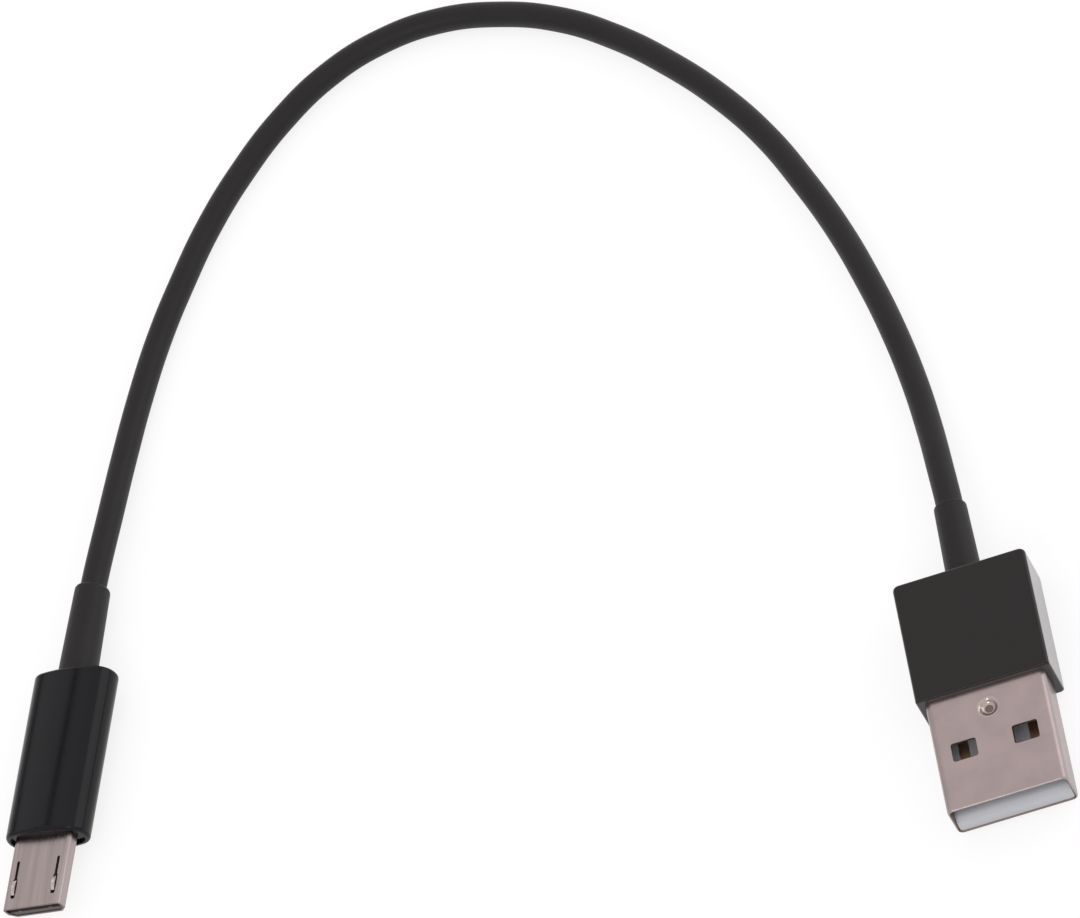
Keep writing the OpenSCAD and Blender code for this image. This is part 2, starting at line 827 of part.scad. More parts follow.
module micro_b_solder() {
    y = b_tail_end - core_lie - solder_r;
    color("#b9bcc0") place_b()
        for (k = [0, 1, 2, 4])
            solder_drop(b_contact_x[k], y, in_low_row(k) ? b_low_z : b_high_z, !in_low_row(k));
}

type_a_shell();
type_a_tongue();
type_a_contact_power();
type_a_contact_data_minus();
type_a_contact_data_plus();
type_a_contact_ground();
type_a_solder();
type_a_inner_mould();
type_a_housing();
type_a_strain_relief();
cord_jacket();
core_red();
core_white();
core_green();
core_black();
micro_b_strain_relief();
micro_b_housing();
micro_b_inner_mould();
micro_b_shell();
micro_b_insulator();
micro_b_tails();
micro_b_contact_power();
micro_b_contact_data_minus();
micro_b_contact_data_plus();
micro_b_contact_id();
micro_b_contact_ground();
micro_b_latch_left();
micro_b_latch_right();
micro_b_solder();
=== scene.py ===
"""Looks of a short charging cable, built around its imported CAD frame."""

import logging
import math
from dataclasses import dataclass, field, replace
from enum import Enum, IntEnum

import bmesh
import bpy
from mathutils import Matrix, Vector


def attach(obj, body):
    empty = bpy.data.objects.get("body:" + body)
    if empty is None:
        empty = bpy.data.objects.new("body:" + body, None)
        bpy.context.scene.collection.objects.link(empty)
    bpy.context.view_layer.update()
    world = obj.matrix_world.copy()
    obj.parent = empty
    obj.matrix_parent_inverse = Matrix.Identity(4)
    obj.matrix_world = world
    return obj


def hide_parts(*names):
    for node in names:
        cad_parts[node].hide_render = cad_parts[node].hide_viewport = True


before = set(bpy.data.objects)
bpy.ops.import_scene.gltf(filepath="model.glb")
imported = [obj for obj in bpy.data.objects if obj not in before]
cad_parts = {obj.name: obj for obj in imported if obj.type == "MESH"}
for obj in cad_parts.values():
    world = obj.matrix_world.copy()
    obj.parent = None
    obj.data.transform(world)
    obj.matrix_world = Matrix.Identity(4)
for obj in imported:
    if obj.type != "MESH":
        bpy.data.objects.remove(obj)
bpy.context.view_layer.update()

LOG = logging.getLogger("cable")
MM = 0.001
BODY = "cable"
# Width of the photograph's frame in pixels
IMAGE_W = 1080
# How far the small plug is turned on the table
MICRO_HEADING_DEG = -16.3
# The sRGB curve: a straight foot up to a knee, then a power
SRGB_KNEE, SRGB_FOOT, SRGB_LIFT, SRGB_POWER = 0.04045, 12.92, 0.055, 2.4
# A Mix node's colour sockets, which share their names with its other sockets
MIX_A, MIX_B, MIX_RESULT = 6, 7, 2
# Detail of the fine and the broad noise, and the range that such noise mostly keeps to
FINE_DETAIL, FINE_FALLOFF, BROAD_DETAIL = 4.0, 0.55, 2.0
NOISE_LOW, NOISE_HIGH = 0.3, 0.7
BUMP_MM = 0.02
LACQUER_IOR, LACQUER_ROUGHNESS = 1.2, 0.1
# Points nearer than the first are one, and the second is a flat face's strip for even shading
MERGE_MM, FLAT_RIM_MM = 0.002, 0.03
# Edges that turn further than the first shade as sharp, and the second finds a sheet's cut edges
SHARP, CUT_EDGE = math.radians(35), math.radians(60)
CUT_EDGE_STEPS = 2

Point = tuple[float, float, float]
Outline = list[Vector]


def linear(hex_colour: str) -> tuple[float, float, float, float]:
    """Turns an sRGB hex colour into linear RGBA.

    Args:
        hex_colour: Six hex digits after a hash sign.

    Returns:
        Linear red, green and blue, with alpha 1.
    """
    parts = [int(hex_colour[k:k + 2], 16) / 255 for k in (1, 3, 5)]
    curved = (part / SRGB_FOOT if part <= SRGB_KNEE
              else ((part + SRGB_LIFT) / (1 + SRGB_LIFT)) ** SRGB_POWER for part in parts)
    return (*curved, 1.0)


def add_node(tree: bpy.types.NodeTree, kind: str, settings: dict | None = None,
             inputs: dict | None = None) -> bpy.types.Node:
    """Adds one node with its settings, and values or links on its sockets.

    Args:
        tree: The node tree that takes the node.
        kind: The node's type name.
        settings: Attribute names and their values.
        inputs: Socket names or numbers, each with a value or an output socket.

    Returns:
        The new node.
    """
    node = tree.nodes.new(kind)
    for name, value in (settings or {}).items():
        setattr(node, name, value)
    for key, value in (inputs or {}).items():
        socket = node.inputs[key]
        if isinstance(value, bpy.types.NodeSocket):
            tree.links.new(value, socket)
        else:
            socket.default_value = value
    return node


class Grain(Enum):
    """Which way a surface's fine marks run."""

    EVEN = "even"
    ALONG = "along"


@dataclass(frozen=True)
class Finish:
    """One material: what it is made of and how its surface was made.

    Attributes:
        name: The material's name.
        colour: Its main colour.
        shade: The colour of its cloudy patches.
        roughness: Its middle roughness.
        spread: How far the grain takes the roughness up and down.
        grain_mm: Size of the fine grain.
        bump: Strength of the grain's relief.
        metallic: 1 for a metal.
        ior: Index of refraction, or None for the shader's default.
        grain: Which way the grain runs.
        heading_deg: The plug's heading, for a grain that runs along it.
        stretch: How many times longer than wide such a grain is.
        sheen: Weight of a soft sheen at a slant.
        lacquer: Weight of a clear coat.
        mottle_mm: Size of the cloudy patches.
    """

    name: str
    colour: str
    shade: str
    roughness: float
    spread: float
    grain_mm: float
    bump: float
    metallic: float = 0.0
    ior: float | None = None
    grain: Grain = Grain.EVEN
    heading_deg: float = 0.0
    stretch: float = 30.0
    sheen: float = 0.0
    lacquer: float = 0.0
    mottle_mm: float = 4.0

    def material(self) -> bpy.types.Material:
        """Builds the material's nodes.

        Returns:
            The finished material.
        """
        made = bpy.data.materials.new(self.name)
        made.use_nodes = True
        tree = made.node_tree
        tree.nodes.clear()
        place = add_node(tree, "ShaderNodeTexCoord").outputs["Object"]
        along = self.grain is Grain.ALONG
        laid = add_node(tree, "ShaderNodeMapping", {"vector_type": "TEXTURE"}, {
            "Vector": place,
            "Rotation": (0.0, 0.0, math.radians(self.heading_deg)),
            "Scale": (1.0, self.stretch if along else 1.0, 1.0),
        }).outputs["Vector"]
        fine = add_node(tree, "ShaderNodeTexNoise", inputs={
            "Vector": laid, "Scale": 1.0 / (self.grain_mm * MM),
            "Detail": FINE_DETAIL, "Roughness": FINE_FALLOFF,
        }).outputs["Fac"]
        broad = add_node(tree, "ShaderNodeTexNoise", inputs={
            "Vector": laid, "Scale": 1.0 / (self.mottle_mm * MM), "Detail": BROAD_DETAIL,
        }).outputs["Fac"]
        patch = add_node(tree, "ShaderNodeMapRange", inputs={
            "Value": broad, "From Min": NOISE_LOW, "From Max": NOISE_HIGH,
        }).outputs["Result"]
        colour = add_node(tree, "ShaderNodeMix", {"data_type": "RGBA"}, {
            "Factor": patch, MIX_A: linear(self.colour), MIX_B: linear(self.shade),
        }).outputs[MIX_RESULT]
        rough = add_node(tree, "ShaderNodeMapRange", inputs={
            "Value": fine, "From Min": NOISE_LOW, "From Max": NOISE_HIGH,
            "To Min": self.roughness - self.spread, "To Max": self.roughness + self.spread,
        }).outputs["Result"]
        normal = add_node(tree, "ShaderNodeBump", inputs={
            "Height": fine, "Strength": self.bump, "Distance": BUMP_MM * MM,
        }).outputs["Normal"]
        values = {
            "Base Color": colour, "Roughness": rough, "Normal": normal,
            "Metallic": self.metallic, "Sheen Weight": self.sheen, "Coat Weight": self.lacquer,
            "Coat IOR": LACQUER_IOR, "Coat Roughness": LACQUER_ROUGHNESS,
        }
        if self.ior is not None:
            values["IOR"] = self.ior
        shader = add_node(tree, "ShaderNodeBsdfPrincipled", inputs=values)
        add_node(tree, "ShaderNodeOutputMaterial", inputs={"Surface": shader.outputs["BSDF"]})
        return made


# A pixel of the render is about 0.1 mm. The real grain of most of these finishes is a few
# hundredths of a millimetre, so each grain is drawn as coarse as it needs to show.

# Nickel on rolled and folded steel sheet: a soft warm mirror, slightly cloudy
TYPE_A_NICKEL = Finish(
    "nickel_plated_sheet", "#b6a8a6", "#aca1a0", roughness=0.3, spread=0.03, grain_mm=0.5,
    bump=0.03, metallic=1.0, mottle_mm=2.5)
# The same plate where the punch drew it into the dent: burnished to a sharp mirror
BURNISHED_NICKEL = Finish(
    "burnished_nickel", "#c4b8b4", "#bcb0ac", roughness=0.12, spread=0.03, grain_mm=0.3,
    bump=0.03, metallic=1.0)
# Bare steel inside both shells and on their cut edges, darkened as painted shade: dull and
# brownish; the same painted shade fills the dent's flat bottom
BARE_STEEL_AND_SHADE = Finish(
    "bare_steel_and_painted_shade", "#897c77", "#776c67", roughness=0.4, spread=0.08, grain_mm=0.15, bump=0.3,
    metallic=1.0)
# Nickel on a drawn steel shell: its draw marks run along the plug and show as faint streaks,
# which are made a quarter to half a millimetre wide because real ones are too fine to show
MICRO_NICKEL = Finish(
    "nickel_plated_drawn_shell", "#b6acab", "#a89e9c", roughness=0.3, spread=0.04, grain_mm=0.25,
    bump=0.03, metallic=1.0, grain=Grain.ALONG, heading_deg=MICRO_HEADING_DEG, mottle_mm=0.5)
# Hardened spring strip of the latch arms, drawn paler and brighter than the plated shell as a
# painted highlight on the hooks
SPRING_STEEL_AND_HIGHLIGHT = Finish(
    "spring_steel_painted_highlight", "#dfd8d5", "#d3cbc8", roughness=0.22, spread=0.03, grain_mm=0.2,
    bump=0.02, metallic=1.0)
# Moulded ABS under a thin soft lacquer: a quiet satin black that turns bright at a slant
SATIN_BLACK = Finish(
    "satin_black_abs", "#0a0505", "#0e0808", roughness=0.22, spread=0.03, grain_mm=0.18,
    bump=0.05, ior=1.3, sheen=0.25, lacquer=1.0)
# Moulded ABS from a polished tool: deep black with long soft reflections
GLOSS_BLACK = Finish(
    "gloss_black_abs", "#05050b", "#08080f", roughness=0.14, spread=0.02, grain_mm=0.6,
    bump=0.02, ior=1.35)
# Soft thermoplastic on the cord and strain reliefs: matt, with a slight rubbery sheen
SOFT_BLACK = Finish(
    "soft_black_elastomer", "#0f0d0f", "#131113", roughness=0.5, spread=0.05, grain_mm=0.25,
    bump=0.2, ior=1.42, sheen=0.04)
# Glass-filled nylon, moulded white: slightly cool, with a soft highlight
WHITE_NYLON = Finish(
    "white_nylon", "#cacfd5", "#c5cad0", roughness=0.42, spread=0.05, grain_mm=0.3, bump=0.1,
    ior=1.53)
# Gold flash over nickel on copper alloy strip, dulled by handling: warm and without sharp glints
GOLD_FLASH = Finish(
    "gold_flash", "#dcbf9c", "#c7a47f", roughness=0.45, spread=0.05, grain_mm=0.3, bump=0.1,
    metallic=1.0)
# Tin solder, set bright: small silvery drops
SOLDER = Finish(
    "bright_solder", "#c4c6ca", "#aeb1b6", roughness=0.3, spread=0.08, grain_mm=0.2, bump=0.2,
    metallic=1.0)
# Natural polyethylene, moulded over the soldered ends: pale, milky and waxy
NATURAL_MOULD = Finish(
    "natural_polyethylene", "#d9d5c8", "#cfcabb", roughness=0.5, spread=0.05, grain_mm=0.4,
    bump=0.1, ior=1.5)
# Moulded liquid-crystal polymer of the small plug's insulator: plain dark grey and matt
GREY_POLYMER = Finish(
    "grey_polymer", "#544e4e", "#5c5656", roughness=0.5, spread=0.06, grain_mm=0.2, bump=0.1,
    ior=1.55)
# PVC insulation of the four cores, extruded in its colour code: even and slightly waxy
RED_PVC = Finish(
    "red_pvc", "#b3262a", "#a82226", roughness=0.45, spread=0.05, grain_mm=0.2, bump=0.1, ior=1.53)
WHITE_PVC = replace(RED_PVC, name="white_pvc", colour="#e6e6e2", shade="#dcdcd8")
GREEN_PVC = replace(RED_PVC, name="green_pvc", colour="#2f7d46", shade="#2a723f")
BLACK_PVC = replace(RED_PVC, name="black_pvc", colour="#202022", shade="#262628")


@dataclass
class Wardrobe:
    """Makes each finish once and puts it on pieces."""

    made: dict[str, bpy.types.Material] = field(default_factory=dict)

    def look(self, finish: Finish) -> bpy.types.Material:
        """Gives a finish's material, made at its first use.

        Args:
            finish: The finish.

        Returns:
            Its material.
        """
        if finish.name not in self.made:
            self.made[finish.name] = finish.material()
        return self.made[finish.name]

    def wear(self, piece: bpy.types.Object, finish: Finish, *marked: Finish) -> None:
        """Gives every material slot of a piece one finish, and its marked faces others.

        Args:
            piece: The object to dress.
            finish: Its finish.
            marked: Finishes of the faces that are marked 1, 2 and so on.
        """
        if not piece.material_slots:
            piece.data.materials.append(self.look(finish))
        for spot in piece.material_slots:
            spot.material = self.look(finish)
        for extra in marked:
            piece.data.materials.append(self.look(extra))
        LOG.info("%s wears %s", piece.name, finish.name)


@dataclass(frozen=True)
class Seat:
    """Where a plug lies: its housing's front on its axis, its turn and its roll."""

    place_mm: Point
    heading_deg: float = 0.0
    roll_deg: float = 0.0

    def matrix(self) -> Matrix:
        """Gives one matrix from the plug's millimetres to metres on the table.

        Returns:
            The matrix.
        """
        return (Matrix.Translation(Vector(self.place_mm) * MM)
                @ Matrix.Rotation(math.radians(self.heading_deg), 4, "Z")
                @ Matrix.Rotation(math.radians(self.roll_deg), 4, "Y")
                @ Matrix.Scale(MM, 4))


def rounded(corners: list[Point], radii: list[float], segments: int) -> Outline:
    """Rounds the corners of a flat outline.

    Args:
        corners: The outline's corners in order.
        radii: How far along its edges each corner's arc starts.
        segments: Steps of each arc.

    Returns:
        The rounded outline's points in order.
    """
    shape = bmesh.new()
    verts = [shape.verts.new(corner) for corner in corners]
    shape.faces.new(verts)
    for vert, radius in zip(verts, radii):
        bmesh.ops.bevel(shape, geom=[vert], offset=radius, offset_type="OFFSET", affect="VERTICES",
                        segments=segments, profile=0.5, material=-1)
    shape.faces.ensure_lookup_table()
    points = [loop.vert.co.copy() for loop in shape.faces[0].loops]
    shape.free()
    return points


def upright(width: float, height: float, radius: float, segments: int = 6) -> Outline:
    """Draws a rounded rectangle across the plug at y = 0.

    Args:
        width: Its size along x.
        height: Its size along z.
        radius: Its corners' radius.
        segments: Steps of each corner.

    Returns:
        The outline's points.
    """
    x, z = width / 2, height / 2
    return rounded([(-x, 0, -z), (x, 0, -z), (x, 0, z), (-x, 0, z)], [radius] * 4, segments)


def disc(radius: float, segments: int = 48) -> Outline:
    """Draws a circle across the plug at y = 0.

    Args:
        radius: Its radius.
        segments: Its sides.

    Returns:
        The circle's points.
    """
    shape = bmesh.new()
    bmesh.ops.create_circle(shape, cap_ends=False, radius=radius, segments=segments,
                            matrix=Matrix.Rotation(math.pi / 2, 4, "X"))
    points = [vert.co.copy() for vert in shape.verts]
    shape.free()
    return points


def at(outline: Outline, y: float) -> Outline:
    """Moves an outline along the plug by y."""
    return [point + Vector((0.0, y, 0.0)) for point in outline]


class Blank:
    """One piece in the making, in its plug's own millimetres, with y along the plug."""

    def __init__(self) -> None:
        """Starts with an empty shape."""
        self.shape = bmesh.new()

    def edges(self, outline: Outline) -> list[bmesh.types.BMEdge]:
        """Adds an outline's points and edges.

        Args:
            outline: The points in order.

        Returns:
            The closed chain of edges.
        """
        verts = [self.shape.verts.new(point) for point in outline]
        return [self.shape.edges.new((verts[k - 1], verts[k])) for k in range(len(verts))]

    def loft(self, outlines: list[Outline], mark: int = 0) -> None:
        """Skins a row of outlines that have the same number of points.

        Args:
            outlines: The outlines in order along the skin.
            mark: The material slot of its faces.
        """
        chains = [self.edges(outline) for outline in outlines]
        for first, second in zip(chains, chains[1:]):
            for face in bmesh.ops.bridge_loops(self.shape, edges=first + second)["faces"]:
                face.material_index = mark

    def sheet(self, outer: Outline, *holes: Outline, mark: int = 0) -> None:
        """Fills a flat outline, leaving its holes open.

        Args:
            outer: The flat area's outline.
            holes: Outlines inside it that stay open.
            mark: The material slot of its faces.
        """
        chain = self.edges(outer)
        for hole in holes:
            chain += self.edges(hole)
        made = bmesh.ops.triangle_fill(self.shape, use_beauty=True, use_dissolve=False, edges=chain)
        flat = [part for part in made["geom"] if isinstance(part, bmesh.types.BMFace)]
        rim = bmesh.ops.inset_region(self.shape, faces=flat, thickness=FLAT_RIM_MM,
                                     use_boundary=True, use_even_offset=True)["faces"]
        for face in flat + rim:
            face.material_index = mark

    def open_flat(self, level: float) -> Outline:
        """Takes out the longest flat face at one height.

        Args:
            level: The face's height.

        Returns:
            The outline that it leaves.
        """
        flats = [face for face in self.shape.faces
                 if all(abs(vert.co.z - level) < MERGE_MM for vert in face.verts)]
        longest = max(flats, key=lambda face: face.calc_area())
        outline = [vert.co.copy() for vert in longest.verts]
        bmesh.ops.delete(self.shape, geom=[longest], context="FACES_ONLY")
        return outline

    def piece(self, name: str, seat: Seat, wall_mm: float = 0.0, rim_mm: float = 0.0,
              bare_and_shade: int = 0) -> bpy.types.Object:
        """Closes the seams and makes the object.

        Args:
            name: The object's name.
            seat: Where its plug lies.
            wall_mm: Thickness to give a sheet inwards, or 0 for a closed shape.
            rim_mm: Rounding of a sheet's cut edges.
            bare_and_shade: The material slot of a sheet's inner side and cut edges.

        Returns:
            The new object, at the origin.
        """
        shape = self.shape
        bmesh.ops.remove_doubles(shape, verts=shape.verts, dist=MERGE_MM)
        bmesh.ops.recalc_face_normals(shape, faces=shape.faces)
        if shape.calc_volume(signed=True) < 0:
            bmesh.ops.reverse_faces(shape, faces=shape.faces)
        bmesh.ops.transform(shape, matrix=seat.matrix(), verts=shape.verts)
        for face in shape.faces:
            face.smooth = True
        for edge in shape.edges:
            edge.smooth = edge.calc_face_angle(0.0) < SHARP
        data = bpy.data.meshes.new(name)
        shape.to_mesh(data)
        shape.free()
        made = bpy.data.objects.new(name, data)
        bpy.context.scene.collection.objects.link(made)
        if wall_mm:
            wall = made.modifiers.new("wall", "SOLIDIFY")
            wall.thickness = wall_mm * MM
            wall.offset = -1.0
            wall.use_even_offset = True
            # The inner side and cut edges take the slot of uncoated steel, whose colour paints
            # their shade
            wall.material_offset = bare_and_shade
            wall.material_offset_rim = bare_and_shade
            rim = made.modifiers.new("rim", "BEVEL")
            rim.width = rim_mm * MM
            rim.segments = CUT_EDGE_STEPS
            rim.limit_method = "ANGLE"
            rim.angle_limit = CUT_EDGE
        shading = made.modifiers.new("even_shading", "WEIGHTED_NORMAL")
        shading.keep_sharp = True
        return made


@dataclass
class Relief:
    """A strain relief: a flat collar and neck in the housing and a tapered sleeve behind it.

    Its sizes are in millimetres, and y runs along the plug from the housing's front.
    """

    name: str
    node: str
    seat: Seat
    housing_l: float
    length: float
    base_d: float
    tip_d: float
    collar_h: float
    collar_w: float = 5.2
    collar_r: float = 0.4
    collar_l: float = 0.8
    back_wall: float = 1.2
    neck_d: float = 3.4
    bore_d: float = 2.74
    seat_gap: float = 0.02
    tip_steps: int = 5

    def build(self, wardrobe: Wardrobe) -> None:
        """Builds the relief and puts it in its node's place.

        Args:
            wardrobe: Where its finish comes from.
        """
        collar_y = self.housing_l - self.back_wall - self.collar_l
        wall_y = collar_y + self.collar_l
        sleeve_y = self.housing_l + self.seat_gap
        tip_y = self.housing_l + self.length
        round_r = (self.tip_d - self.bore_d) / 2 - self.seat_gap
        collar = upright(self.collar_w, self.collar_h, self.collar_r)
        neck, bore = disc(self.neck_d / 2), disc(self.bore_d / 2)
        turns = [math.pi / 2 * k / self.tip_steps for k in range(self.tip_steps + 1)]
        tip = [at(disc(self.tip_d / 2 - round_r * (1 - math.cos(turn))),
                  tip_y - round_r * (1 - math.sin(turn))) for turn in turns]
        blank = Blank()
        blank.sheet(at(collar, collar_y), at(bore, collar_y))
        blank.loft([at(collar, collar_y), at(collar, wall_y)])
        blank.sheet(at(collar, wall_y), at(neck, wall_y))
        blank.loft([at(neck, wall_y), at(neck, sleeve_y)])
        blank.sheet(at(disc(self.base_d / 2), sleeve_y), at(neck, sleeve_y))
        blank.loft([at(disc(self.base_d / 2), sleeve_y), *tip])
        blank.sheet(tip[-1], at(bore, tip_y))
        blank.loft([at(bore, tip_y), at(bore, collar_y)])
        made = blank.piece(self.name, self.seat)
        wardrobe.wear(made, SOFT_BLACK)
        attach(made, BODY)
        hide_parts(self.node)


class ShellFace(IntEnum):
    """Places among the wide shell's materials of the finishes that follow its plate."""

    DENT = 1
    # Uncoated steel, whose darker colour paints the shade under the sheet and at the dent's bottom
    BARE_AND_SHADE = 2


@dataclass
class TypeAPlug:
    """The wide plug's folded shell, box-shaped housing and strain relief.

    Its sizes are in millimetres, and y runs along the plug from the housing's front.
    """

    seat: Seat = Seat((0.0, -6.65, 2.95))
    shell_w: float = 12.0
    shell_h: float = 4.5
    bend_r: float = 0.65
    sheet: float = 0.3
    rim: float = 0.06
    nose: float = -12.2
    shell_in: float = 4.5
    # How far the sheet curls in, at distances from the nose
    nose_curl: tuple[tuple[float, float], ...] = (
        (0.17, 0.0), (0.08, 0.05), (0.03, 0.13), (0.01, 0.24), (0.0, 0.4))
    # A window's width, length and corner radius, and where its middle lies from the nose
    window: tuple[float, float, float] = (2.5, 2.0, 0.25)
    window_steps: int = 5
    window_x: float = 3.05
    window_y: float = 6.1
    # The dent's rings, each with its radius and depth: a soft shoulder, a wall and a flat bottom
    dent_y: float = 9.9
    dent_rings: tuple[tuple[float, float], ...] = (
        (1.09, 0.0), (1.016, 0.01), (0.932, 0.044), (0.861, 0.1), (0.784, 0.192), (0.704, 0.294),
        (0.64, 0.355), (0.57, 0.4), (0.5, 0.432), (0.43, 0.447))
    housing_w: float = 13.4
    housing_h: float = 5.9
    housing_l: float = 13.3
    edge_r: float = 0.35
    corner_r: float = 0.55
    end_r: float = 0.2
    end_steps: int = 4
    corner_steps: int = 8
    bore_end: float = 11.3
    seat_gap: float = 0.02

    @staticmethod
    def flat_loop(points: Outline, x: float, y: float, z: float) -> Outline:
        """Lays an upright outline flat at one place on the shell."""
        return [Vector((point.x + x, point.z + y, z)) for point in points]

    def shell(self, wardrobe: Wardrobe) -> None:
        """Builds the folded sheet with its windows and its stamped dent.

        Args:
            wardrobe: Where its finish comes from.
        """
        rows = [at(upright(self.shell_w - 2 * inset, self.shell_h - 2 * inset, self.bend_r - inset),
                   self.nose + y) for inset, y in self.nose_curl]
        rows.append(at(upright(self.shell_w, self.shell_h, self.bend_r), self.shell_in))
        blank = Blank()
        blank.loft(rows)
        window = upright(*self.window, segments=self.window_steps)
        top = self.shell_h / 2
        dent = [self.flat_loop(disc(radius), 0.0, self.nose + self.dent_y, top - depth)
                for radius, depth in self.dent_rings]
        for level in (top, -top):
            holes = [self.flat_loop(window, side * self.window_x, self.nose + self.window_y, level)
                     for side in (-1, 1)]
            if level > 0:
                holes.append(dent[0])
            blank.sheet(blank.open_flat(level), *holes)
        blank.loft(dent, mark=ShellFace.DENT)
        # The dent's flat bottom is painted shade, in the uncoated steel colour
        blank.sheet(dent[-1], mark=ShellFace.BARE_AND_SHADE)
        made = blank.piece("wide_plug_shell", self.seat, self.sheet, self.rim, bare_and_shade=ShellFace.BARE_AND_SHADE)
        wardrobe.wear(made, TYPE_A_NICKEL, BURNISHED_NICKEL, BARE_STEEL_AND_SHADE)
        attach(made, BODY)
        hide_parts("type_a_shell")

    def section(self, inset_x: float, inset_z: float, y: float) -> Outline:
        """Draws the housing's outline, drawn in at its sides and at its top and underside."""
        outline = upright(self.housing_w - 2 * inset_x, self.housing_h - 2 * inset_z, self.edge_r)
        return at(outline, y)

    def housing(self, wardrobe: Wardrobe, relief: Relief) -> None:
        """Builds the moulded housing round the shell's seat and the relief's collar.

        Args:
            wardrobe: Where its finish comes from.
            relief: The strain relief that it holds.
        """
        rows = []
        for k in range(self.end_steps + 1):
            turn = math.pi / 2 * k / self.end_steps
            inset = self.end_r * (1 - math.sin(turn))
            rows.append(self.section(inset, inset, self.end_r * (1 - math.cos(turn))))
        # At the cord the upright corners are rounder than the edges along the top and underside
        for k in range(self.corner_steps + 1):
            turn = math.pi / 2 * k / self.corner_steps
            y = self.corner_r * math.sin(turn) - self.corner_r
            past_edge = max(0.0, y + self.end_r)
            drop = self.end_r - math.sqrt(max(0.0, self.end_r ** 2 - past_edge ** 2))
            inset = self.corner_r * (1 - math.cos(turn))
            rows.append(self.section(inset, drop, self.housing_l + y))
        gap = self.seat_gap
        bore = upright(self.shell_w + 2 * gap, self.shell_h + 2 * gap, self.bend_r + gap)
        room = upright(relief.collar_w + 2 * gap, relief.collar_h + 2 * gap, relief.collar_r + gap)
        neck = disc(relief.neck_d / 2 + gap)
        wall_y = self.housing_l - relief.back_wall
        blank = Blank()
        blank.loft(rows)
        blank.sheet(rows[0], bore)
        blank.loft([bore, at(bore, self.bore_end)])
        blank.sheet(at(bore, self.bore_end), at(room, self.bore_end))
        blank.loft([at(room, self.bore_end), at(room, wall_y)])
        blank.sheet(at(room, wall_y), at(neck, wall_y))
        blank.loft([at(neck, wall_y), at(neck, self.housing_l)])
        blank.sheet(rows[-1], at(neck, self.housing_l))
        made = blank.piece("wide_plug_housing", self.seat)
        wardrobe.wear(made, SATIN_BLACK)
        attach(made, BODY)
        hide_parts("type_a_housing")

    def build(self, wardrobe: Wardrobe) -> None:
        """Builds the three pieces.

        Args:
            wardrobe: Where their finishes come from.
        """
        relief = Relief("wide_plug_relief", "type_a_strain_relief", self.seat, self.housing_l,
                        length=8.7, base_d=3.55, tip_d=3.25, collar_h=4.3)
        self.shell(wardrobe)
        self.housing(wardrobe, relief)
        relief.build(wardrobe)


